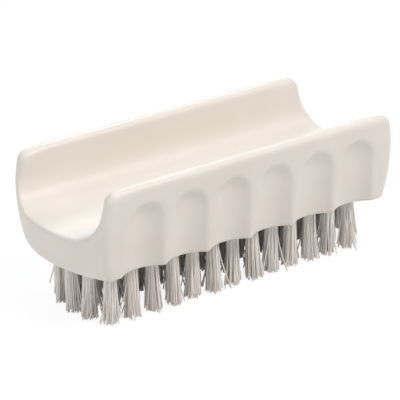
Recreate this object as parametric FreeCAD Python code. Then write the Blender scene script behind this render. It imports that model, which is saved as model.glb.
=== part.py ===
import FreeCAD
import Part
import math
import os
from FreeCAD import Vector

# Nail brush: a moulded handle block with a hand trough, tufts of bristle and the staples that hold them.
# Millimetres. The origin lies on the plane of the bristle tips, under the middle of the block.
# +X runs along the block, +Y across it and +Z up towards the hand.

# Handle block
FACE_WIDTH = 46.0              # bristle face, over the ridges
BLOCK_HEIGHT = 30.0            # bristle face to rims
SIDE_DRAFT = 3.2               # lean of each long side, outwards from the bristle face up to the rims
BLOCK_LENGTH = 127.0           # over the ends where they are fullest
END_BULGE_RADIUS = 53.0        # plan radius of the ends where they are fullest
END_CROWN_RADIUS = 64.0        # upright radius of the ends
END_CROWN_HEIGHT = 18.0        # bristle face up to where the ends are fullest
FACE_ROUNDING = 0.8            # edge round the bristle face

# Hand trough
WALL_THICKNESS = 5.0           # each side wall, at the rim
RIM_FLAT = 0.7                 # level strip along the top of each wall, between its roundings
END_ROUNDING_SHARE = 0.5       # rounding of the block's ends as a share of the rims' rounding
FLOOR_THICKNESS = 12.6         # bristle face to trough floor
TROUGH_CORNER_RADIUS = 9.0     # floor to wall

# Finger flutes
FINGER_WIDTH = 17.0            # about the width of one flute's cell; a side has as many as fit it best
FLUTE_DEPTH = 3.0              # at the bristle face
FLUTE_TOP_DEPTH = 2.2          # level with the centres of the arches
FLUTE_TOP_DROP = 5.3           # rims down to the tops of the arches
FLUTE_END_LAND = 4.4           # plain side left between the block's corner and the first flute's cell
RIDGE_WIDTH = 0.9              # plain side left between two flutes, at the bristle face
RIDGE_ROUNDING = 0.6           # edges of the flutes

# Tuft field
OUTER_ROW_TUFTS = 13
INNER_ROW_TUFTS = 14
INNER_ROWS_EACH_SIDE = 1       # rows between the middle row and the outer row
FIELD_END_MARGIN = 7.0         # end of the bristle face to the middle row's last tuft
FIELD_SIDE_MARGIN = 4.2        # bottom of a flute to the outer row
FIELD_END_RADIUS = 24.0        # arc on which the rows end
OUTER_ROW_SHIFT = 2.1          # how far each outer row is set along the block, one row each way

# Tufts
BRISTLE_LENGTH = 17.5          # bristle face to tips
HOLE_DIAMETER = 4.4
HOLE_DEPTH = 9.0
TUFT_FLARE = 0.6               # growth of a tuft's radius between hole and tips
TUFT_CLEARANCE = 0.05          # tuft to hole, all round

# Strands that the bristle of a tuft parts into
STRANDS_PER_TUFT = 8
STRAND_GROOVE_DEPTH = 0.9      # between two strands, at the tips
STRAND_GROOVE_WIDTH = 1.4      # likewise
STRAND_ROOT = 2.0              # bristle next to the face that is still one round bundle
STRAND_STEP = 0.8              # how much shorter every second strand is
STRAND_CORE_RADIUS = 2.0       # middle of a tuft, where all the bristle has its full length

# Staples
STAPLE_THICKNESS = 0.4
STAPLE_HEIGHT = 1.8
STAPLE_BITE = 0.6              # length of each staple end that sits in the hole's wall
STAPLE_CLEARANCE = 0.02        # staple to its slot, all round
BEND_THICKNESS = 1.4           # bristle folded over the staple

# Levels, sizes and angles that follow from the values above
FACE_Z = BRISTLE_LENGTH
RIM_Z = FACE_Z + BLOCK_HEIGHT
TROUGH_FLOOR_Z = FACE_Z + FLOOR_THICKNESS
RIM_HALF_WIDTH = FACE_WIDTH / 2 + SIDE_DRAFT
TROUGH_HALF_WIDTH = RIM_HALF_WIDTH - WALL_THICKNESS
SIDE_ANGLE = math.atan2(SIDE_DRAFT, BLOCK_HEIGHT)
FACE_INSET = END_CROWN_RADIUS - math.sqrt(END_CROWN_RADIUS ** 2 - END_CROWN_HEIGHT ** 2)
FACE_LENGTH = BLOCK_LENGTH - 2 * FACE_INSET
FACE_BULGE_RADIUS = END_BULGE_RADIUS - FACE_INSET
BULGE_CENTRE = BLOCK_LENGTH / 2 - END_BULGE_RADIUS
RIM_SETBACK = (1 + math.sin(SIDE_ANGLE)) / math.cos(SIDE_ANGLE)
RIM_ROUNDING = (WALL_THICKNESS - RIM_FLAT) / (1 + RIM_SETBACK)
END_ROUNDING = RIM_ROUNDING * END_ROUNDING_SHARE
STEM_RADIUS = HOLE_DIAMETER / 2 - TUFT_CLEARANCE
TUFT_TOP_Z = FACE_Z + HOLE_DEPTH - TUFT_CLEARANCE
STAPLE_TOP_Z = TUFT_TOP_Z - BEND_THICKNESS - STAPLE_CLEARANCE
STAPLE_LENGTH = HOLE_DIAMETER + 2 * STAPLE_BITE
OUTER_ROW = INNER_ROWS_EACH_SIDE + 1
ROW_PITCH = (FACE_WIDTH / 2 - FLUTE_DEPTH - FIELD_SIDE_MARGIN) / OUTER_ROW
OVERRUN = 5.0                  # how far a cutter or a trimmed length runs past the block
TOLERANCE = 1e-4


def arc(centre_y, centre_z, radius, start, end):
    """Arc in the cross-section, between two angles in radians counted from +Y towards +Z."""
    points = []
    for angle in (start, (start + end) / 2, end):
        points.append((centre_y + radius * math.cos(angle), centre_z + radius * math.sin(angle)))
    return points


def half_section():
    """Right half of the block's cross-section as stretches of two points (lines) or three (arcs)."""
    right = math.pi / 2
    rim_y = RIM_HALF_WIDTH - RIM_SETBACK * RIM_ROUNDING
    rim_z = RIM_Z - RIM_ROUNDING
    outer_rim = arc(rim_y, rim_z, RIM_ROUNDING, -SIDE_ANGLE, right)
    inner_rim = arc(TROUGH_HALF_WIDTH + RIM_ROUNDING, rim_z, RIM_ROUNDING, right, 2 * right)
    corner_y = TROUGH_HALF_WIDTH - TROUGH_CORNER_RADIUS
    corner_z = TROUGH_FLOOR_Z + TROUGH_CORNER_RADIUS
    trough_corner = arc(corner_y, corner_z, TROUGH_CORNER_RADIUS, 0, -right)
    foot = (FACE_WIDTH / 2, FACE_Z)
    return [
        [foot, outer_rim[0]],
        outer_rim,
        [outer_rim[-1], inner_rim[0]],
        inner_rim,
        [inner_rim[-1], trough_corner[0]],
        trough_corner,
    ]


def body_bar():
    """Bar longer than the block, with its cross-section: drafted sides, rounded rims and the trough."""
    start = -BLOCK_LENGTH / 2 - OVERRUN
    right_half = half_section()
    left_half = [[(-y, z) for y, z in reversed(stretch)] for stretch in reversed(right_half)]
    floor = [right_half[-1][-1], left_half[0][0]]
    base = [left_half[-1][-1], right_half[0][0]]
    edges = []
    for stretch in right_half + [floor] + left_half + [base]:
        points = [Vector(start, y, z) for y, z in stretch]
        curve = Part.Arc(*points) if len(points) == 3 else Part.LineSegment(*points)
        edges.append(curve.toShape())
    return Part.Face(Part.Wire(edges)).extrude(Vector(-2 * start, 0, 0))


def face_end_x(y):
    """How far an end of the bristle face reaches at this y."""
    return BULGE_CENTRE + math.sqrt(FACE_BULGE_RADIUS ** 2 - y ** 2)


def barrel():
    """Round body whose side gives one end of the block its bulge in plan and its crown in height."""
    crown_z = FACE_Z + END_CROWN_HEIGHT
    foot_z = FACE_Z - OVERRUN
    top_z = RIM_Z + OVERRUN

    def side(z):
        inset = END_CROWN_RADIUS - math.sqrt(END_CROWN_RADIUS ** 2 - (z - crown_z) ** 2)
        return Vector(BULGE_CENTRE - END_BULGE_RADIUS + inset, 0, z)

    axis_foot = Vector(BULGE_CENTRE, 0, foot_z)
    axis_top = Vector(BULGE_CENTRE, 0, top_z)
    profile = [
        Part.LineSegment(axis_foot, side(foot_z)),
        Part.Arc(side(foot_z), side(crown_z), side(top_z)),
        Part.LineSegment(side(top_z), axis_top),
        Part.LineSegment(axis_top, axis_foot),
    ]
    face = Part.Face(Part.Wire([edge.toShape() for edge in profile]))
    return face.revolve(axis_foot, Vector(0, 0, 1), 360)


def end_trims():
    """What is cut off the bar at each end to leave its bulged shape."""
    length = END_BULGE_RADIUS + 2 * OVERRUN
    width = 2 * RIM_HALF_WIDTH + 2 * OVERRUN
    height = BLOCK_HEIGHT + OVERRUN
    corner = Vector(BULGE_CENTRE, -width / 2, FACE_Z - OVERRUN / 2)
    trim = Part.makeBox(length, width, height, corner).cut(barrel())
    return [trim, trim.mirror(Vector(0, 0, 0), Vector(1, 0, 0))]


def flute_cutter(radius):
    """Ball-ended rod that hollows one flute, upright, with the ball's centre at the origin."""
    foot = Vector(0, 0, -BLOCK_HEIGHT - OVERRUN)
    rim = Vector(radius, 0, 0)
    shoulder = Vector(radius * math.sqrt(0.5), 0, radius * math.sqrt(0.5))
    crown = Vector(0, 0, radius)
    profile = [
        Part.LineSegment(foot, Vector(radius, 0, foot.z)),
        Part.LineSegment(Vector(radius, 0, foot.z), rim),
        Part.Arc(rim, shoulder, crown),
        Part.LineSegment(crown, foot),
    ]
    face = Part.Face(Part.Wire([edge.toShape() for edge in profile]))
    return face.revolve(Vector(0, 0, 0), Vector(0, 0, 1), 360)


def flute_cutters():
    """All flute cutters, leaning a little more than the sides so that the flutes fade towards their tops."""
    row_length = 2 * (face_end_x(FACE_WIDTH / 2) - FLUTE_END_LAND)
    flutes_per_side = round(row_length / FINGER_WIDTH)
    pitch = row_length / flutes_per_side
    face_half_width = (pitch - RIDGE_WIDTH) / 2
    radius = (face_half_width ** 2 + FLUTE_DEPTH ** 2) / (2 * FLUTE_DEPTH)
    arch_radius = math.sqrt(2 * radius * FLUTE_TOP_DEPTH - FLUTE_TOP_DEPTH ** 2)
    arch_height = BLOCK_HEIGHT - FLUTE_TOP_DROP - arch_radius
    lean = SIDE_DRAFT * arch_height / BLOCK_HEIGHT + FLUTE_DEPTH - FLUTE_TOP_DEPTH
    angle = math.atan2(lean, arch_height)
    floor_y = FACE_WIDTH / 2 - FLUTE_DEPTH + lean
    y = floor_y + radius * math.cos(angle)
    z = FACE_Z + arch_height - radius * math.sin(angle)
    cutter = flute_cutter(radius)
    cutters = []
    for side in (1, -1):
        for index in range(flutes_per_side):
            flute = cutter.copy()
            flute.rotate(Vector(0, 0, 0), Vector(1, 0, 0), -side * math.degrees(angle))
            flute.translate(Vector((index + 0.5) * pitch - row_length / 2, side * y, z))
            cutters.append(flute)
    return cutters, radius


def end_edges(block):
    """Edges round each end: up the corners, over the rims and along the trough's run-out."""
    found = []
    for face in block.Faces:
        if not isinstance(face.Surface, (Part.Plane, Part.Cylinder)):
            found.extend(edge for edge in face.Edges if edge.BoundBox.ZMax > FACE_Z + TOLERANCE)
    return found


def ridge_edges(block, flute_radius):
    """Edges where a flute meets the plain side, beside the ridges and round the arches."""
    found = []
    for edge in block.Edges:
        if edge.BoundBox.ZMax < FACE_Z + TOLERANCE:
            continue
        surfaces = [face.Surface for face in block.ancestorsOfType(edge, Part.Face)]
        radii = [getattr(surface, "Radius", 0.0) for surface in surfaces]
        hollow = [abs(radius - flute_radius) < TOLERANCE for radius in radii]
        if any(hollow) and not all(hollow):
            found.append(edge)
    return found


def face_edges(block):
    """Edges round the bristle face, in order round it."""
    found = [edge for edge in block.Edges if edge.BoundBox.ZMax < FACE_Z + TOLERANCE]
    return sorted(found, key=lambda edge: math.atan2(edge.CenterOfMass.y, edge.CenterOfMass.x))


def field_half_length(y):
    """Distance from the middle of the block to the last tuft of the row at this y."""
    middle_row = FACE_LENGTH / 2 - FIELD_END_MARGIN
    return middle_row - FIELD_END_RADIUS + math.sqrt(FIELD_END_RADIUS ** 2 - y ** 2)


def tuft_columns():
    """Places of the tufts, gathered into columns that run across the block."""
    columns = [[] for _ in range(max(OUTER_ROW_TUFTS, INNER_ROW_TUFTS))]
    for row in range(-OUTER_ROW, OUTER_ROW + 1):
        outer = abs(row) == OUTER_ROW
        count = OUTER_ROW_TUFTS if outer else INNER_ROW_TUFTS
        shift = math.copysign(OUTER_ROW_SHIFT, row) if outer else 0.0
        y = row * ROW_PITCH
        half = field_half_length(y)
        for index in range(count):
            columns[index].append(Vector(shift + 2 * half * index / (count - 1) - half, y, 0))
    return columns


def staple(clearance):
    """Flat wire pushed across a hole, or with a clearance the slot that it sits in."""
    length = STAPLE_LENGTH + 2 * clearance
    thickness = STAPLE_THICKNESS + 2 * clearance
    height = STAPLE_HEIGHT + 2 * clearance
    corner = Vector(-length / 2, -thickness / 2, STAPLE_TOP_Z + clearance - height)
    return Part.makeBox(length, thickness, height, corner)


def flank_radius(z):
    """Radius of a tuft's flared bristle at this height."""
    return STEM_RADIUS + TUFT_FLARE * (FACE_Z - z) / BRISTLE_LENGTH


def strand_grooves():
    """Tapered rods round a tuft, that part its bristle into strands and run out towards the face."""
    axis = flank_radius(0) - STRAND_GROOVE_DEPTH + STRAND_GROOVE_WIDTH / 2
    length = BRISTLE_LENGTH - STRAND_ROOT
    root_radius = axis - flank_radius(length)
    groove = Part.makeCone(STRAND_GROOVE_WIDTH / 2, root_radius, length, Vector(axis, 0, 0))
    grooves = []
    for index in range(STRANDS_PER_TUFT):
        turned = groove.copy()
        turned.rotate(Vector(0, 0, 0), Vector(0, 0, 1), 360 * index / STRANDS_PER_TUFT)
        grooves.append(turned)
    return grooves


def strand_ends():
    """What is cut off the tips of every second strand."""
    angle = 360 / STRANDS_PER_TUFT
    core = Part.makeCylinder(STRAND_CORE_RADIUS, STRAND_STEP)
    upwards = Vector(0, 0, 1)
    sector = Part.makeCylinder(2 * flank_radius(0), STRAND_STEP, Vector(0, 0, 0), upwards, angle)
    end = sector.cut(core)
    ends = []
    for index in range(0, STRANDS_PER_TUFT, 2):
        turned = end.copy()
        turned.rotate(Vector(0, 0, 0), upwards, angle * index)
        ends.append(turned)
    return ends


def folded_stem():
    """The part of a tuft inside its hole: two legs of bristle under a fold."""
    length = TUFT_TOP_Z - FACE_Z
    stem = Part.makeCylinder(STEM_RADIUS, length, Vector(0, 0, FACE_Z))
    fold_z = TUFT_TOP_Z - STEM_RADIUS
    fold_end = Vector(-STEM_RADIUS, 0, fold_z)
    fold = Part.makeCylinder(STEM_RADIUS, 2 * STEM_RADIUS, fold_end, Vector(1, 0, 0))
    corner = Vector(-STEM_RADIUS, -STEM_RADIUS, FACE_Z)
    legs = Part.makeBox(2 * STEM_RADIUS, 2 * STEM_RADIUS, fold_z - FACE_Z, corner)
    return stem.common(legs.fuse(fold))


def tuft():
    """One tuft: flared strands of bristle, and a folded stem with a window for the staple."""
    bristle = Part.makeCone(flank_radius(0), STEM_RADIUS, BRISTLE_LENGTH)
    bristle = bristle.cut(strand_grooves() + strand_ends())
    whole = bristle.fuse(folded_stem()).cut(staple(STAPLE_CLEARANCE))
    return whole.removeSplitter()


def hole_cutter():
    """Blind hole for one tuft, with the slots that its staple's ends sit in."""
    hole = Part.makeCylinder(HOLE_DIAMETER / 2, HOLE_DEPTH + OVERRUN, Vector(0, 0, FACE_Z - OVERRUN))
    return hole.fuse(staple(STAPLE_CLEARANCE))


def placed(shape, place):
    """Copy of a shape moved to a tuft's place."""
    copy = shape.copy()
    copy.translate(place)
    return copy


def handle_block(places):
    """The moulded block: bar with its trough, bulged ends, flutes, then the tuft holes."""
    block = body_bar().cut(end_trims())
    block = block.makeFillet(END_ROUNDING, end_edges(block))
    cutters, flute_radius = flute_cutters()
    block = block.cut(cutters)
    block = block.makeFillet(RIDGE_ROUNDING, ridge_edges(block, flute_radius))
    block = block.makeFillet(FACE_ROUNDING, face_edges(block))
    cutter = hole_cutter()
    block = block.cut([placed(cutter, place) for place in places])
    return block.Solids[0]


def export(shape, node):
    """Write one node's file."""
    shape.exportStep("parts/" + node + ".step")


def main():
    os.makedirs("parts", exist_ok=True)
    columns = tuft_columns()
    places = [place for column in columns for place in column]
    export(handle_block(places), "handle_block")
    one_tuft = tuft().Solids[0]
    one_staple = staple(0.0)
    for number, column in enumerate(columns, start=1):
        for name, piece in (("tuft", one_tuft), ("staple", one_staple)):
            pieces = Part.makeCompound([placed(piece, place) for place in column])
            export(pieces, "%s_column_%02d" % (name, number))


main()
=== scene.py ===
import math

import bpy
import numpy as np
from bpy.props import FloatProperty, FloatVectorProperty, IntProperty, PointerProperty
from mathutils import Matrix, Vector


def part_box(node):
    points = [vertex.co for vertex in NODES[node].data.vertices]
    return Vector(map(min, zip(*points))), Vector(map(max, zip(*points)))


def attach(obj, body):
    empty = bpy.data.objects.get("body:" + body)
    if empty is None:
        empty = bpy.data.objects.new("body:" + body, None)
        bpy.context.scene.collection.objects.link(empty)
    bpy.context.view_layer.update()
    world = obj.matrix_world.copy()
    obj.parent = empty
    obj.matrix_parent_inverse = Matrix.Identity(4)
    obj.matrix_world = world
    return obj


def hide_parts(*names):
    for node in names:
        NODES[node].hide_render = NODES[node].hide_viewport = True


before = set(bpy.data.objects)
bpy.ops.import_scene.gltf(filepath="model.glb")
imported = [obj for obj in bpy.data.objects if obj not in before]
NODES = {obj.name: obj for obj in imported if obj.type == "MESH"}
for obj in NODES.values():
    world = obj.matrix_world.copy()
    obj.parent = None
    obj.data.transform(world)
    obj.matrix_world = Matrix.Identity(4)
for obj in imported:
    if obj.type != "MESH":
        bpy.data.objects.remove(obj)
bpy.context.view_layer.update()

bl_info = {
    "name": "Nail brush",
    "version": (1, 0, 0),
    "blender": (4, 5, 0),
    "location": "View3D > Sidebar > Nail brush",
    "description": "Moulded handle block, bristle tufts and staples of a nail brush, with its stage",
    "category": "Object",
}

TUFT_NODES = sorted(name for name in NODES if name.startswith("tuft_column"))
STAPLE_NODES = sorted(name for name in NODES if name.startswith("staple_column"))
BODY = "root"
MM = 0.001

# Block skin
GRID_MARGIN = (2.0, 2.0, 1.7)   # steps outside the block; they keep the grid's planes off its flat faces
SLOPE_PROBE = 0.02 * MM         # distance over which the field's slope is measured
SETTLE_ROUNDS = 4               # times that the skin's points are drawn onto the field's surface
LEAST_STEEPNESS = 0.25          # keeps those moves short where the field is flat
END_FADE = 3.0                  # depth of the end roundings' influence, in end roundings
FLOOR_SHARE = 0.4               # part of the trough's corner that still counts as its floor

# Tufts
TIP_LAYER = 0.1 * MM            # CAD points below this level are tips
TUFT_PARTING = 1.5 * MM         # least gap between the tips of two tufts in a column
GOLDEN_TURN = 2.399963          # turn from one filament to the next, in radians
TUFT_TURN = 1.7                 # turn from one tuft to the next
TURN_JITTER = 0.25
NUMBERS_PER_TUFT = 1000.0
LEAN_CURVE = 1.3                # how late a tuft's lean sets in along its length
SWING_CURVE = 1.7               # likewise for single filaments
SHORT_CURVE = 1.7               # how rare short filaments are
FILAMENT_POINTS = 6
FILAMENT_SIDES = 5

# Light: name, place, size, power and colour of each lamp
LAMPS = (
    ("key_light", (0.45, -0.80, 1.15), 0.6, 12.2, (1.0, 0.965, 0.935)),
    ("top_light", (0.05, 0.35, 1.30), 1.1, 4.0, (0.86, 0.95, 1.0)),
    ("left_light", (-1.15, 0.12, 0.70), 1.0, 5.4, (1.0, 1.0, 1.0)),
    ("fill_light", (-0.60, -1.10, 0.12), 0.5, 1.2, (1.0, 1.0, 1.0)),
    ("back_light", (0.75, 1.10, 0.90), 0.6, 5.6, (0.88, 0.96, 1.0)),
)
ROOM_LIGHT = 0.18               # strength of the surround where the camera doesn't look at it
FLOOR_GLOW = 1.1                # white that the camera sees on the floor
FLOOR_LIFT = 0.82               # share of that white; the rest is the lit floor with its shadow
CLIP_START = 0.05


# Settings

class BlockSettings(bpy.types.PropertyGroup):
    """Sizes of the moulded handle block"""

    face_level: FloatProperty(
        name="Face level", description="Bristle tips up to the bristle face", default=0.0175, unit="LENGTH")
    face_width: FloatProperty(
        name="Face width", description="Width of the bristle face over the ridges", default=0.04595,
        unit="LENGTH")
    height: FloatProperty(
        name="Height", description="Bristle face up to the rims", default=0.030, unit="LENGTH")
    side_draft: FloatProperty(
        name="Side draft", description="Outward lean of each long side", default=0.0032, unit="LENGTH")
    length: FloatProperty(
        name="Length", description="Length over the ends where they are fullest", default=0.127,
        unit="LENGTH")
    end_bulge: FloatProperty(
        name="End bulge", description="Plan radius of the ends", default=0.053, unit="LENGTH")
    end_crown: FloatProperty(
        name="End crown", description="Upright radius of the ends", default=0.064, unit="LENGTH")
    crown_height: FloatProperty(
        name="Crown height", description="Bristle face up to the fullest point of the ends", default=0.018,
        unit="LENGTH")
    wall: FloatProperty(
        name="Wall", description="Thickness of each side wall at its rim", default=0.005, unit="LENGTH")
    floor: FloatProperty(
        name="Floor", description="Bristle face up to the trough's floor", default=0.0126, unit="LENGTH")
    trough_radius: FloatProperty(
        name="Trough corner", description="Radius between trough floor and walls", default=0.009,
        unit="LENGTH")
    flutes: IntProperty(
        name="Flutes", description="Finger flutes on each long side", default=6, min=1)
    flute_pitch: FloatProperty(
        name="Flute pitch", description="Distance between neighbouring flutes", default=0.016988,
        unit="LENGTH")
    flute_depth: FloatProperty(
        name="Flute depth", description="Depth of a flute at the bristle face", default=0.003, unit="LENGTH")
    flute_top_depth: FloatProperty(
        name="Flute top depth", description="Depth of a flute at its arch's centre", default=0.0022,
        unit="LENGTH")
    flute_drop: FloatProperty(
        name="Flute drop", description="Rims down to the tops of the arches", default=0.0053, unit="LENGTH")
    ridge: FloatProperty(
        name="Ridge", description="Plain strip between two flutes at the bristle face", default=0.0009,
        unit="LENGTH")
    ridge_rounding: FloatProperty(
        name="Ridge rounding", description="Rounding of the flutes' edges", default=0.0005, unit="LENGTH")
    rim_rounding: FloatProperty(
        name="Rim rounding", description="Rounding of the rims", default=0.0021, unit="LENGTH")
    rim_end_rounding: FloatProperty(
        name="Rim end rounding", description="Rounding of the rims where they run out at the ends",
        default=0.0042, unit="LENGTH")
    corner_rounding: FloatProperty(
        name="Corner rounding", description="Rounding of the block's upright corners", default=0.0015,
        unit="LENGTH")
    trough_rounding: FloatProperty(
        name="Trough rounding", description="Rounding of the trough's edges", default=0.0020, unit="LENGTH")
    run_out_rounding: FloatProperty(
        name="Run-out rounding", description="Rounding where the trough's floor runs out at the ends",
        default=0.0013, unit="LENGTH")
    trough_end_rounding: FloatProperty(
        name="Trough end rounding", description="Rounding of the trough's edges at the ends", default=0.0052,
        unit="LENGTH")
    face_rounding: FloatProperty(
        name="Face rounding", description="Rounding of the edge round the bristle face", default=0.0010,
        unit="LENGTH")
    hole_radius: FloatProperty(
        name="Hole radius", description="Radius of a tuft's blind hole", default=0.0022, unit="LENGTH")
    hole_depth: FloatProperty(
        name="Hole depth", description="Depth of a tuft's blind hole", default=0.009, unit="LENGTH")
    hole_rounding: FloatProperty(
        name="Hole rounding", description="Rounding of a hole's mouth", default=0.0002, unit="LENGTH")
    step: FloatProperty(
        name="Mesh step", description="Spacing of the block's mesh", default=0.00066, unit="LENGTH")


class BristleSettings(bpy.types.PropertyGroup):
    """Sizes of the bristle tufts"""

    filaments: IntProperty(
        name="Filaments", description="Filament ends in each tuft", default=92, min=1)
    filament_radius: FloatProperty(
        name="Filament radius", description="Radius of one filament", default=0.00022, unit="LENGTH")
    bundle_radius: FloatProperty(
        name="Bundle radius", description="Radius of a tuft where it leaves its hole", default=0.00188,
        unit="LENGTH")
    depth: FloatProperty(
        name="Depth", description="Length of filament inside the hole", default=0.0075, unit="LENGTH")
    flare: FloatProperty(
        name="Flare", description="Growth of a tuft towards its tips", default=0.30, subtype="FACTOR")
    strands: IntProperty(
        name="Strands", description="Strands that a tuft's bristle parts into", default=8, min=1)
    gather: FloatProperty(
        name="Gather", description="How closely filaments gather into strands at their tips", default=0.75,
        subtype="FACTOR")
    lean: FloatProperty(
        name="Lean", description="Sideways lean of whole tufts at their tips", default=0.0006, unit="LENGTH")
    spread: FloatProperty(
        name="Spread", description="Sideways spread of single filaments at their tips", default=0.0007,
        unit="LENGTH")
    stray_share: FloatProperty(
        name="Stray share", description="Share of filaments that stand away from their tuft", default=0.11,
        subtype="FACTOR")
    stray_reach: FloatProperty(
        name="Stray reach", description="How far a stray filament's tip stands away", default=0.0030,
        unit="LENGTH")
    raggedness: FloatProperty(
        name="Raggedness", description="How much shorter the shortest filaments are", default=0.0024,
        unit="LENGTH")
    tip_gap: FloatProperty(
        name="Tip gap", description="Least distance from a tip to the ground", default=0.0001, unit="LENGTH")
    seed: IntProperty(
        name="Seed", description="Start of the scatter", default=11)


class FinishSettings(bpy.types.PropertyGroup):
    """Colours of the pieces"""

    plastic: FloatVectorProperty(
        name="Plastic", description="Warm white of the block", default=(0.885, 0.825, 0.765), subtype="COLOR",
        size=3, min=0, max=1)
    plastic_deep: FloatVectorProperty(
        name="Plastic, deeper", description="Slightly deeper tone that drifts through the block",
        default=(0.86, 0.795, 0.73), subtype="COLOR", size=3, min=0, max=1)
    bristle_light: FloatVectorProperty(
        name="Bristle, light", description="Palest filaments", default=(0.97, 0.93, 0.885), subtype="COLOR",
        size=3, min=0, max=1)
    bristle_dark: FloatVectorProperty(
        name="Bristle, dark", description="Darkest filaments", default=(0.91, 0.855, 0.80), subtype="COLOR",
        size=3, min=0, max=1)
    staple: FloatVectorProperty(
        name="Staple wire", description="Steel of the staples", default=(0.60, 0.60, 0.58), subtype="COLOR",
        size=3, min=0, max=1)


class StageSettings(bpy.types.PropertyGroup):
    """Camera, light and floor"""

    azimuth: FloatProperty(
        name="Azimuth", description="Camera's turn about the brush", default=math.radians(-37.488),
        subtype="ANGLE")
    elevation: FloatProperty(
        name="Elevation", description="Camera's height angle", default=math.radians(21.331), subtype="ANGLE")
    roll: FloatProperty(
        name="Roll", description="Camera's tilt about its view line", default=math.radians(-0.633),
        subtype="ANGLE")
    distance: FloatProperty(
        name="Distance", description="Camera to the middle of the block", default=0.8369, unit="LENGTH")
    aim_level: FloatProperty(
        name="Aim level", description="Height of the point that the camera faces", default=0.0325,
        unit="LENGTH")
    lens: FloatProperty(
        name="Lens", description="Focal length in millimetres", default=234.0)
    shift_x: FloatProperty(name="Shift X", description="Sideways framing", default=-0.01664)
    shift_y: FloatProperty(name="Shift Y", description="Upright framing", default=-0.0636)
    floor_size: FloatProperty(
        name="Floor size", description="Side of the floor", default=8.0, unit="LENGTH")
    floor_colour: FloatVectorProperty(
        name="Floor colour", description="Pale floor", default=(0.74, 0.74, 0.74), subtype="COLOR", size=3,
        min=0, max=1)


class BrushSettings(bpy.types.PropertyGroup):
    """All settings of the nail brush"""

    block: PointerProperty(type=BlockSettings)
    bristle: PointerProperty(type=BristleSettings)
    finish: PointerProperty(type=FinishSettings)
    stage: PointerProperty(type=StageSettings)


# Node helpers

def add_node(tree, kind, inputs=None, **settings):
    """New node with its settings, and with values or links for its inputs."""
    node = tree.nodes.new(kind)
    for name, value in settings.items():
        setattr(node, name, value)
    for key, value in (inputs or {}).items():
        if isinstance(value, bpy.types.NodeSocket):
            tree.links.new(value, node.inputs[key])
        else:
            node.inputs[key].default_value = value
    return node


def maths(tree, operation, *values, clamp=False):
    """Result of a math node."""
    node = add_node(tree, "ShaderNodeMath", dict(enumerate(values)), operation=operation, use_clamp=clamp)
    return node.outputs[0]


def vector_maths(tree, operation, *values):
    """Vector result of a vector math node."""
    node = add_node(tree, "ShaderNodeVectorMath", dict(enumerate(values)), operation=operation)
    return node.outputs[0]


def scaled(tree, vector, factor):
    """A vector times a number."""
    node = add_node(tree, "ShaderNodeVectorMath", {0: vector, "Scale": factor}, operation="SCALE")
    return node.outputs[0]


def new_material(name):
    """Empty node material with its shader."""
    material = bpy.data.materials.new(name)
    material.use_nodes = True
    tree = material.node_tree
    tree.nodes.clear()
    shader = tree.nodes.new("ShaderNodeBsdfPrincipled")
    output = tree.nodes.new("ShaderNodeOutputMaterial")
    tree.links.new(shader.outputs[0], output.inputs["Surface"])
    return material, tree, shader


def noise(tree, coordinates, scale, detail, roughness=0.5):
    """Noise between 0 and 1 at a scale in cycles per metre."""
    node = add_node(tree, "ShaderNodeTexNoise", {
        "Vector": coordinates, "Scale": scale, "Detail": detail, "Roughness": roughness})
    return node.outputs["Fac"]


def spread_over(tree, value, low, high):
    """Noise value mapped to a range."""
    node = add_node(tree, "ShaderNodeMapRange", {
        "Value": value, "From Min": 0.3, "From Max": 0.7, "To Min": low, "To Max": high})
    return node.outputs["Result"]


def toned(tree, shader, factor, first, second):
    """Give a shader a colour that lies between two tones."""
    mix = add_node(tree, "ShaderNodeMix", {0: factor, 6: (*first, 1.0), 7: (*second, 1.0)}, data_type="RGBA")
    tree.links.new(mix.outputs[2], shader.inputs["Base Color"])


def bumped(tree, shader, height, strength, distance):
    """Give a shader a fine relief."""
    bump = add_node(tree, "ShaderNodeBump", {"Height": height, "Strength": strength, "Distance": distance})
    tree.links.new(bump.outputs[0], shader.inputs["Normal"])


# Finishes

def moulded_plastic(finish):
    """Satin warm-white plastic with faint flow tones and a fine moulded skin."""
    material, tree, shader = new_material("white_plastic")
    place = tree.nodes.new("ShaderNodeTexCoord").outputs["Object"]
    drift = noise(tree, place, scale=45.0, detail=3.0)
    toned(tree, shader, spread_over(tree, drift, 0.0, 1.0), finish.plastic, finish.plastic_deep)
    rub = noise(tree, place, scale=260.0, detail=4.0, roughness=0.6)
    tree.links.new(spread_over(tree, rub, 0.36, 0.50), shader.inputs["Roughness"])
    skin = noise(tree, place, scale=1500.0, detail=2.0)
    waviness = noise(tree, place, scale=130.0, detail=1.0)
    relief = maths(tree, "MULTIPLY_ADD", waviness, 1.5, skin)
    bumped(tree, shader, relief, strength=0.12, distance=0.06 * MM)
    shader.inputs["IOR"].default_value = 1.49
    shader.inputs["Subsurface Weight"].default_value = 0.15
    shader.inputs["Subsurface Radius"].default_value = (1.0, 0.8, 0.6)
    shader.inputs["Subsurface Scale"].default_value = 0.0015
    return material


def filament_plastic(finish):
    """Off-white filament whose tone differs from one filament to the next."""
    material, tree, shader = new_material("bristle")
    tone = add_node(tree, "ShaderNodeAttribute", attribute_name="tone").outputs["Fac"]
    place = tree.nodes.new("ShaderNodeTexCoord").outputs["Object"]
    streak = noise(tree, place, scale=420.0, detail=2.0)
    blend = maths(tree, "MULTIPLY_ADD", streak, 0.35, maths(tree, "MULTIPLY", tone, 0.8), clamp=True)
    toned(tree, shader, blend, finish.bristle_dark, finish.bristle_light)
    scuff = noise(tree, place, scale=900.0, detail=3.0)
    tree.links.new(spread_over(tree, scuff, 0.32, 0.55), shader.inputs["Roughness"])
    bumped(tree, shader, scuff, strength=0.15, distance=0.04 * MM)
    shader.inputs["IOR"].default_value = 1.55
    return material


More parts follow.
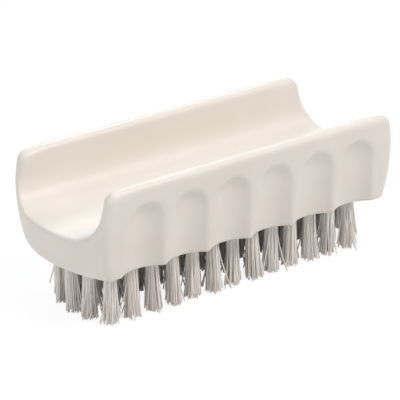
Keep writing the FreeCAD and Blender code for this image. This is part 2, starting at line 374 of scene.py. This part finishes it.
def flat_wire(finish):
    """Rolled steel wire with fine drawing lines along it."""
    material, tree, shader = new_material("staple_wire")
    place = tree.nodes.new("ShaderNodeTexCoord").outputs["Object"]
    stretch = add_node(tree, "ShaderNodeMapping", {"Vector": place, "Scale": (0.05, 1.0, 1.0)}).outputs[0]
    lines = noise(tree, stretch, scale=9000.0, detail=3.0)
    shade = [tone * 0.8 for tone in finish.staple]
    toned(tree, shader, spread_over(tree, lines, 0.0, 1.0), finish.staple, shade)
    tree.links.new(spread_over(tree, lines, 0.28, 0.42), shader.inputs["Roughness"])
    shader.inputs["Metallic"].default_value = 1.0
    return material


# Handle block

def rounded_meet(radius, *fields):
    """Where several half-spaces meet, with the shared edge rounded."""
    reach = np.maximum.reduce(fields)
    corner = np.sqrt(sum(np.maximum(field + radius, 0.0) ** 2 for field in fields))
    return np.minimum(reach, -radius) + corner


def flute_rods(block):
    """Radius, lean and top point of the round-ended rods that hollow the flutes."""
    half = (block.flute_pitch - block.ridge) / 2
    radius = (half ** 2 + block.flute_depth ** 2) / (2 * block.flute_depth)
    arch = math.sqrt(2 * radius * block.flute_top_depth - block.flute_top_depth ** 2)
    level = block.height - block.flute_drop - arch
    lean = block.side_draft * level / block.height + block.flute_depth - block.flute_top_depth
    angle = math.atan2(lean, level)
    y = block.face_width / 2 - block.flute_depth + lean + radius * math.cos(angle)
    z = level - radius * math.sin(angle)
    return radius, angle, y, z


def block_field(block, places, points):
    """Signed distance to the block's skin, negative inside, at each point."""
    x = points[:, 0]
    y = np.abs(points[:, 1])
    z = points[:, 2] - block.face_level
    side_angle = math.atan2(block.side_draft, block.height)
    side = (y - block.face_width / 2 - block.side_draft * z / block.height) * math.cos(side_angle)

    radius, angle, rod_y, rod_z = flute_rods(block)
    down = np.maximum(-(y - rod_y) * math.sin(angle) - (z - rod_z) * math.cos(angle), 0.0)
    across = (y - rod_y) ** 2 + (z - rod_z) ** 2 - down ** 2
    hollows = []
    for number in range(block.flutes):
        centre = (number - (block.flutes - 1) / 2) * block.flute_pitch
        hollows.append(radius - np.sqrt(np.maximum(across + (x - centre) ** 2, 0.0)))
    fluted = rounded_meet(block.ridge_rounding, side, *hollows)

    along = np.maximum(np.abs(x) - (block.length / 2 - block.end_bulge), 0.0)
    reach = np.hypot(along, y) + block.end_crown - block.end_bulge
    end = np.hypot(reach, z - block.crown_height) - block.end_crown
    cornered = rounded_meet(block.corner_rounding, fluted, end)

    near_end = np.clip(1.0 + end / (END_FADE * block.rim_end_rounding), 0.0, 1.0) ** 2
    rim = block.rim_rounding + (block.rim_end_rounding - block.rim_rounding) * near_end
    rimmed = rounded_meet(rim, cornered, z - block.height)

    trough_half = block.face_width / 2 + block.side_draft - block.wall
    beside = y - (trough_half - block.trough_radius)
    below = block.floor + block.trough_radius - z
    trough = block.trough_radius - np.minimum(np.maximum(beside, below), 0.0)
    trough -= np.hypot(np.maximum(beside, 0.0), np.maximum(below, 0.0))
    upper = np.clip((z - block.floor) / block.trough_radius - FLOOR_SHARE, 0.0, 1.0)
    lip_end = block.run_out_rounding + (block.trough_end_rounding - block.run_out_rounding) * upper
    lip = block.trough_rounding + (lip_end - block.trough_rounding) * near_end
    hollowed = rounded_meet(lip, rimmed, trough)
    faced = rounded_meet(block.face_rounding, hollowed, -z)

    nearest = np.full(len(x), np.inf)
    for place in places:
        nearest = np.minimum(nearest, (x - place[0]) ** 2 + (points[:, 1] - place[1]) ** 2)
    hole = np.minimum(block.hole_radius - np.sqrt(nearest), block.hole_depth - z)
    return rounded_meet(block.hole_rounding, faced, hole)


def field_slope(block, places, points):
    """Slope of the block's field at each point."""
    slope = np.zeros_like(points)
    for axis in range(3):
        offset = np.zeros(3)
        offset[axis] = SLOPE_PROBE
        ahead = block_field(block, places, points + offset)
        behind = block_field(block, places, points - offset)
        slope[:, axis] = (ahead - behind) / (2 * SLOPE_PROBE)
    return slope


def skin_mesh(values, origin, step):
    """Points and quads of the surface where a grid of values changes sign."""
    inside = values < 0
    cells = tuple(count - 1 for count in values.shape)
    total = np.zeros((cells[0] * cells[1] * cells[2], 3))
    hits = np.zeros(len(total))
    crossings = []
    for axis in range(3):
        first = [slice(None)] * 3
        second = [slice(None)] * 3
        first[axis] = slice(None, -1)
        second[axis] = slice(1, None)
        first = tuple(first)
        second = tuple(second)
        found = np.argwhere(inside[first] != inside[second])
        low = values[first][tuple(found.T)]
        high = values[second][tuple(found.T)]
        point = found.astype(float)
        point[:, axis] += low / (low - high)
        around = [(axis + 1) % 3, (axis + 2) % 3]
        ring = []
        for shift in ((0, 0), (-1, 0), (-1, -1), (0, -1)):
            cell = found.copy()
            cell[:, around[0]] += shift[0]
            cell[:, around[1]] += shift[1]
            index = np.ravel_multi_index(tuple(cell.T), cells)
            np.add.at(total, index, point)
            np.add.at(hits, index, 1)
            ring.append(index)
        ring = np.stack(ring, 1)
        turned = low > 0
        ring[turned] = ring[turned][:, ::-1]
        crossings.append(ring)
    used = np.flatnonzero(hits)
    number = np.full(len(hits), -1)
    number[used] = np.arange(len(used))
    points = origin + step * total[used] / hits[used][:, None]
    return points, number[np.concatenate(crossings)]


def tuft_places():
    """Middle of every tuft, read from the tip discs of the tuft columns, one list for each column."""
    columns = {}
    for name in TUFT_NODES:
        vertices = np.array([vertex.co for vertex in NODES[name].data.vertices])
        tips = vertices[vertices[:, 2] < TIP_LAYER]
        tips = tips[np.argsort(tips[:, 1])]
        cuts = np.flatnonzero(np.diff(tips[:, 1]) > TUFT_PARTING) + 1
        columns[name] = [(group.min(0) + group.max(0)) / 2 for group in np.split(tips, cuts)]
    return columns


def plain_mesh(name, points, faces):
    """Smooth mesh from points and quads."""
    mesh = bpy.data.meshes.new(name)
    mesh.from_pydata(points.tolist(), [], faces.tolist())
    mesh.validate()
    mesh.shade_smooth()
    return mesh


def add_piece(name, mesh, material, slot, *nodes):
    """Object for a finished mesh, riding on the body in place of its nodes."""
    mesh.materials.clear()
    mesh.materials.append(material)
    piece = bpy.data.objects.new(name, mesh)
    bpy.context.scene.collection.objects.link(piece)
    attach(piece, BODY)
    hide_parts(*nodes)
    return piece


class NAILBRUSH_OT_handle_block(bpy.types.Operator):
    """Build the moulded block with its trough, flutes, bulged ends and tuft holes"""

    bl_idname = "nail_brush.handle_block"
    bl_label = "Handle block"

    def execute(self, context):
        settings = context.scene.nail_brush
        block = settings.block
        places = [place for column in tuft_places().values() for place in column]
        low, high = np.array(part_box("handle_block"))
        low -= np.array(GRID_MARGIN) * block.step
        high += 2 * block.step
        axes = [np.arange(low[axis], high[axis] + block.step, block.step) for axis in range(3)]
        grid = np.stack(np.meshgrid(*axes, indexing="ij"), -1)
        values = block_field(block, places, grid.reshape(-1, 3)).reshape(grid.shape[:3])
        points, faces = skin_mesh(values, low, block.step)
        for _ in range(SETTLE_ROUNDS):
            slope = field_slope(block, places, points)
            steep = np.maximum((slope ** 2).sum(1), LEAST_STEEPNESS)
            points -= slope * (block_field(block, places, points) / steep)[:, None]
        mesh = plain_mesh("block_shell", points, faces)
        add_piece("block_shell", mesh, moulded_plastic(settings.finish), "white_plastic", "handle_block")
        return {"FINISHED"}


# Bristle tufts

def tuft_tree(material):
    """Node tree that grows a tuft of filaments at every vertex of a mesh."""
    tree = bpy.data.node_groups.new("bristle_tufts", "GeometryNodeTree")
    sockets = tree.interface
    sockets.new_socket("Geometry", in_out="INPUT", socket_type="NodeSocketGeometry")
    sockets.new_socket("Filaments", in_out="INPUT", socket_type="NodeSocketInt")
    sockets.new_socket("Seed", in_out="INPUT", socket_type="NodeSocketInt")
    sockets.new_socket("Strands", in_out="INPUT", socket_type="NodeSocketInt")
    for name in ("Filament radius", "Bundle radius", "Face level", "Depth", "Flare", "Gather", "Lean",
                 "Spread", "Stray share", "Stray reach", "Raggedness", "Tip gap"):
        sockets.new_socket(name, in_out="INPUT", socket_type="NodeSocketFloat")
    sockets.new_socket("Geometry", in_out="OUTPUT", socket_type="NodeSocketGeometry")
    given = tree.nodes.new("NodeGroupInput").outputs

    def scatter(low, high, identity, salt, vector=False):
        kind = "FLOAT_VECTOR" if vector else "FLOAT"
        node = add_node(tree, "FunctionNodeRandomValue", data_type=kind)
        ends = (node.inputs[0], node.inputs[1]) if vector else (node.inputs[2], node.inputs[3])
        ends[0].default_value = low
        ends[1].default_value = high
        tree.links.new(identity, node.inputs["ID"])
        tree.links.new(maths(tree, "ADD", given["Seed"], salt), node.inputs["Seed"])
        return node.outputs[0] if vector else node.outputs[1]

    def kept_value(name, kind="FLOAT_VECTOR"):
        node = add_node(tree, "GeometryNodeInputNamedAttribute", {"Name": name}, data_type=kind)
        return node.outputs["Attribute"]

    roots = add_node(tree, "GeometryNodeMeshToPoints", {"Mesh": given["Geometry"]})
    index = tree.nodes.new("GeometryNodeInputIndex").outputs[0]
    numbered = add_node(tree, "GeometryNodeStoreNamedAttribute", {
        "Geometry": roots.outputs[0], "Name": "tuft", "Value": index}, data_type="INT", domain="POINT")
    copies = add_node(tree, "GeometryNodeDuplicateElements", {
        "Geometry": numbered.outputs[0], "Amount": given["Filaments"]}, domain="POINT")
    count = copies.outputs["Duplicate Index"]
    tuft = kept_value("tuft", "INT")
    identity = maths(tree, "MULTIPLY_ADD", tuft, NUMBERS_PER_TUFT, count)

    share = maths(tree, "DIVIDE", maths(tree, "ADD", count, 0.5), given["Filaments"])
    radial = maths(tree, "SQRT", share)
    turn = maths(tree, "MULTIPLY_ADD", count, GOLDEN_TURN, maths(tree, "MULTIPLY", tuft, TUFT_TURN))
    turn = maths(tree, "ADD", turn, scatter(-TURN_JITTER, TURN_JITTER, identity, salt=1))
    across = maths(tree, "COSINE", turn)
    aside = maths(tree, "SINE", turn)
    disc = add_node(tree, "ShaderNodeCombineXYZ", {
        0: maths(tree, "MULTIPLY", radial, across), 1: maths(tree, "MULTIPLY", radial, aside)}).outputs[0]
    pull = maths(tree, "SINE", maths(tree, "MULTIPLY", turn, given["Strands"]))
    pull = maths(tree, "DIVIDE", maths(tree, "MULTIPLY", pull, given["Gather"]), given["Strands"])
    pull = maths(tree, "MULTIPLY", pull, maths(tree, "MULTIPLY", radial, given["Bundle radius"]))
    gather = add_node(tree, "ShaderNodeCombineXYZ", {
        0: maths(tree, "MULTIPLY", pull, maths(tree, "MULTIPLY", aside, -1.0)),
        1: maths(tree, "MULTIPLY", pull, across)}).outputs[0]
    sideways = ((-1, -1, 0), (1, 1, 0))
    lean = scaled(tree, scatter(*sideways, tuft, salt=2, vector=True), given["Lean"])
    single = scaled(tree, scatter(*sideways, identity, salt=3, vector=True), given["Spread"])
    is_stray = maths(tree, "LESS_THAN", scatter(0.0, 1.0, identity, salt=4), given["Stray share"])
    stray = scaled(tree, scatter(*sideways, identity, salt=5, vector=True), given["Stray reach"])
    stray = scaled(tree, stray, is_stray)
    swing = vector_maths(tree, "ADD", vector_maths(tree, "ADD", single, stray), gather)
    short = scatter(0.0, 1.0, identity, salt=6)
    short = maths(tree, "MULTIPLY", maths(tree, "POWER", short, SHORT_CURVE), given["Raggedness"])
    tip = maths(tree, "ADD", short, given["Tip gap"])
    tone = scatter(0.0, 1.0, identity, salt=7)

    kept = copies.outputs["Geometry"]
    for name, kind, value in (
        ("disc", "FLOAT_VECTOR", disc), ("lean", "FLOAT_VECTOR", lean), ("swing", "FLOAT_VECTOR", swing),
        ("tip", "FLOAT", tip), ("tone", "FLOAT", tone),
        ("root", "FLOAT_VECTOR", tree.nodes.new("GeometryNodeInputPosition").outputs[0]),
    ):
        store = add_node(tree, "GeometryNodeStoreNamedAttribute", {
            "Geometry": kept, "Name": name, "Value": value}, data_type=kind, domain="POINT")
        kept = store.outputs[0]

    line = add_node(tree, "GeometryNodeCurvePrimitiveLine", {"Start": (0, 0, 0), "End": (0, 0, 1)})
    strand = add_node(tree, "GeometryNodeResampleCurve", {"Curve": line.outputs[0], "Count": FILAMENT_POINTS})
    grown = add_node(tree, "GeometryNodeInstanceOnPoints", {"Points": kept, "Instance": strand.outputs[0]})
    real = add_node(tree, "GeometryNodeRealizeInstances", {"Geometry": grown.outputs[0]})

    along = tree.nodes.new("GeometryNodeSplineParameter").outputs["Factor"]
    top = maths(tree, "ADD", given["Face level"], given["Depth"])
    drop = maths(tree, "SUBTRACT", kept_value("tip", "FLOAT"), top)
    level = maths(tree, "MULTIPLY_ADD", along, drop, top)
    free = maths(tree, "SUBTRACT", 1.0, maths(tree, "DIVIDE", level, given["Face level"]))
    free = maths(tree, "MAXIMUM", free, 0.0)
    growth = maths(tree, "MULTIPLY_ADD", free, given["Flare"], 1.0)
    place = kept_value("root")
    for name, amount in (
        ("disc", maths(tree, "MULTIPLY", given["Bundle radius"], growth)),
        ("lean", maths(tree, "POWER", free, LEAN_CURVE)),
        ("swing", maths(tree, "POWER", free, SWING_CURVE)),
    ):
        place = vector_maths(tree, "ADD", place, scaled(tree, kept_value(name), amount))
    place = vector_maths(tree, "MULTIPLY", place, (1.0, 1.0, 0.0))
    rise = add_node(tree, "ShaderNodeCombineXYZ", {2: level}).outputs[0]
    bent = add_node(tree, "GeometryNodeSetPosition", {
        "Geometry": real.outputs[0], "Position": vector_maths(tree, "ADD", place, rise)})
    ring = add_node(tree, "GeometryNodeCurvePrimitiveCircle", {
        "Resolution": FILAMENT_SIDES, "Radius": given["Filament radius"]})
    tube = add_node(tree, "GeometryNodeCurveToMesh", {
        "Curve": bent.outputs[0], "Profile Curve": ring.outputs[0], "Fill Caps": True})
    smooth = add_node(tree, "GeometryNodeSetShadeSmooth", {"Geometry": tube.outputs[0]})
    whole = add_node(tree, "GeometryNodeRealizeInstances", {"Geometry": smooth.outputs[0]})
    dressed = add_node(tree, "GeometryNodeSetMaterial", {"Geometry": whole.outputs[0], "Material": material})
    add_node(tree, "NodeGroupOutput", {0: dressed.outputs[0]})
    return tree


class NAILBRUSH_OT_tufts(bpy.types.Operator):
    """Grow the bristle tufts, column by column, out of their holes"""

    bl_idname = "nail_brush.tufts"
    bl_label = "Bristle tufts"

    def execute(self, context):
        settings = context.scene.nail_brush
        bristle = settings.bristle
        material = filament_plastic(settings.finish)
        tree = tuft_tree(material)
        for number, (node, places) in enumerate(tuft_places().items(), start=1):
            roots = bpy.data.meshes.new("tuft_roots")
            roots.from_pydata([tuple(place) for place in places], [], [])
            grower = bpy.data.objects.new("tuft_roots", roots)
            context.scene.collection.objects.link(grower)
            modifier = grower.modifiers.new("Tufts", "NODES")
            modifier.node_group = tree
            values = {
                "Filaments": bristle.filaments,
                "Seed": bristle.seed + 100 * number,
                "Strands": bristle.strands,
                "Filament radius": bristle.filament_radius,
                "Bundle radius": bristle.bundle_radius,
                "Face level": settings.block.face_level,
                "Depth": bristle.depth,
                "Flare": bristle.flare,
                "Gather": bristle.gather,
                "Lean": bristle.lean,
                "Spread": bristle.spread,
                "Stray share": bristle.stray_share,
                "Stray reach": bristle.stray_reach,
                "Raggedness": bristle.raggedness,
                "Tip gap": bristle.tip_gap,
            }
            for item in tree.interface.items_tree:
                if item.in_out == "INPUT" and item.name in values:
                    modifier[item.identifier] = values[item.name]
            context.view_layer.update()
            evaluated = grower.evaluated_get(context.evaluated_depsgraph_get())
            mesh = bpy.data.meshes.new_from_object(evaluated)
            mesh.name = "bristle_column_%02d" % number
            bpy.data.objects.remove(grower)
            if not mesh.polygons:
                raise RuntimeError("the tufts of %s came out empty" % node)
            add_piece(mesh.name, mesh, material, "bristle", node)
        return {"FINISHED"}


# Staples

class NAILBRUSH_OT_staples(bpy.types.Operator):
    """Give the staples inside the block their steel finish"""

    bl_idname = "nail_brush.staples"
    bl_label = "Staples"

    def execute(self, context):
        material = flat_wire(context.scene.nail_brush.finish)
        for name in STAPLE_NODES:
            mesh = NODES[name].data
            mesh.materials.clear()
            mesh.materials.append(material)
        return {"FINISHED"}


# Stage

def floor_material(stage):
    """Pale floor that looks white to the camera and still takes the brush's shadow."""
    material, tree, shader = new_material("floor")
    shader.inputs["Base Color"].default_value = (*stage.floor_colour, 1.0)
    shader.inputs["Roughness"].default_value = 0.9
    shader.inputs["Specular IOR Level"].default_value = 0.0
    glow = add_node(tree, "ShaderNodeEmission", {"Color": (1, 1, 1, 1), "Strength": FLOOR_GLOW})
    clear = tree.nodes.new("ShaderNodeBsdfTransparent")
    path = tree.nodes.new("ShaderNodeLightPath")
    seen = maths(tree, "MAXIMUM", path.outputs["Is Camera Ray"], path.outputs["Is Glossy Ray"])
    seen = maths(tree, "MAXIMUM", seen, path.outputs["Is Transmission Ray"])
    lift = add_node(tree, "ShaderNodeMixShader", {
        0: maths(tree, "MULTIPLY", seen, FLOOR_LIFT), 1: shader.outputs[0], 2: glow.outputs[0]})
    under = tree.nodes.new("ShaderNodeNewGeometry").outputs["Backfacing"]
    sided = add_node(tree, "ShaderNodeMixShader", {0: under, 1: lift.outputs[0], 2: clear.outputs[0]})
    output = next(node for node in tree.nodes if node.type == "OUTPUT_MATERIAL")
    tree.links.new(sided.outputs[0], output.inputs["Surface"])
    return material


def soft_lamp(name, place, aim, size, power, colour):
    """Round soft light that faces a point."""
    lamp = bpy.data.lights.new(name, "AREA")
    lamp.shape = "DISK"
    lamp.size = size
    lamp.energy = power
    lamp.color = colour
    holder = bpy.data.objects.new(name, lamp)
    holder.location = place
    holder.rotation_euler = (Vector(aim) - Vector(place)).to_track_quat("-Z", "Y").to_euler()
    bpy.context.scene.collection.objects.link(holder)


def studio_world():
    """Even pale surround that the camera sees as white."""
    world = bpy.data.worlds.new("studio")
    bpy.context.scene.world = world
    world.use_nodes = True
    tree = world.node_tree
    tree.nodes.clear()
    path = tree.nodes.new("ShaderNodeLightPath")
    seen = maths(tree, "MAXIMUM", path.outputs["Is Camera Ray"], path.outputs["Is Transmission Ray"])
    strength = maths(tree, "MULTIPLY_ADD", seen, 1.0 - ROOM_LIGHT, ROOM_LIGHT)
    surround = add_node(tree, "ShaderNodeBackground", {"Color": (1, 1, 1, 1), "Strength": strength})
    output = tree.nodes.new("ShaderNodeOutputWorld")
    tree.links.new(surround.outputs[0], output.inputs["Surface"])


class NAILBRUSH_OT_stage(bpy.types.Operator):
    """Set up the floor, the soft studio light and the camera"""

    bl_idname = "nail_brush.stage"
    bl_label = "Stage"

    def execute(self, context):
        scene = context.scene
        stage = scene.nail_brush.stage
        half = stage.floor_size / 2
        mesh = bpy.data.meshes.new("floor")
        corners = [(-half, -half, 0), (half, -half, 0), (half, half, 0), (-half, half, 0)]
        mesh.from_pydata(corners, [], [(0, 1, 2, 3)])
        mesh.materials.append(floor_material(stage))
        floor = bpy.data.objects.new("floor", mesh)
        scene.collection.objects.link(floor)

        aim = Vector((0, 0, stage.aim_level))
        for name, place, size, power, colour in LAMPS:
            soft_lamp(name, place, aim, size, power, colour)
        studio_world()

        azimuth = stage.azimuth
        back = Vector((
            math.sin(azimuth) * math.cos(stage.elevation),
            -math.cos(azimuth) * math.cos(stage.elevation),
            math.sin(stage.elevation),
        ))
        level = Vector((math.cos(azimuth), math.sin(azimuth), 0))
        upright = back.cross(level)
        right = math.cos(stage.roll) * level + math.sin(stage.roll) * upright
        up = math.cos(stage.roll) * upright - math.sin(stage.roll) * level
        place = aim + stage.distance * back
        lens = bpy.data.cameras.new("camera")
        lens.lens = stage.lens
        lens.shift_x = stage.shift_x
        lens.shift_y = stage.shift_y
        lens.clip_start = CLIP_START
        camera = bpy.data.objects.new("camera", lens)
        camera.matrix_world = Matrix((
            (right.x, up.x, back.x, place.x),
            (right.y, up.y, back.y, place.y),
            (right.z, up.z, back.z, place.z),
            (0, 0, 0, 1),
        ))
        scene.collection.objects.link(camera)
        scene.camera = camera
        scene.view_settings.view_transform = "Standard"
        return {"FINISHED"}


# Sidebar

class NAILBRUSH_PT_sidebar(bpy.types.Panel):
    """Pieces and settings of the nail brush"""

    bl_idname = "NAILBRUSH_PT_sidebar"
    bl_label = "Nail brush"
    bl_space_type = "VIEW_3D"
    bl_region_type = "UI"
    bl_category = "Nail brush"

    def draw(self, context):
        settings = context.scene.nail_brush
        for title, group, operator in (
            ("Block", settings.block, NAILBRUSH_OT_handle_block),
            ("Bristles", settings.bristle, NAILBRUSH_OT_tufts),
            ("Finish", settings.finish, NAILBRUSH_OT_staples),
            ("Stage", settings.stage, NAILBRUSH_OT_stage),
        ):
            box = self.layout.box()
            box.label(text=title)
            for name in group.__annotations__:
                box.prop(group, name)
            box.operator(operator.bl_idname)


CLASSES = (
    BlockSettings,
    BristleSettings,
    FinishSettings,
    StageSettings,
    BrushSettings,
    NAILBRUSH_OT_handle_block,
    NAILBRUSH_OT_tufts,
    NAILBRUSH_OT_staples,
    NAILBRUSH_OT_stage,
    NAILBRUSH_PT_sidebar,
)


def register():
    for item in CLASSES:
        bpy.utils.register_class(item)
    bpy.types.Scene.nail_brush = PointerProperty(type=BrushSettings)


def unregister():
    del bpy.types.Scene.nail_brush
    for item in reversed(CLASSES):
        bpy.utils.unregister_class(item)


def main():
    register()
    bpy.ops.nail_brush.handle_block()
    bpy.ops.nail_brush.tufts()
    bpy.ops.nail_brush.staples()
    bpy.ops.nail_brush.stage()


if __name__ == "__main__":
    main()
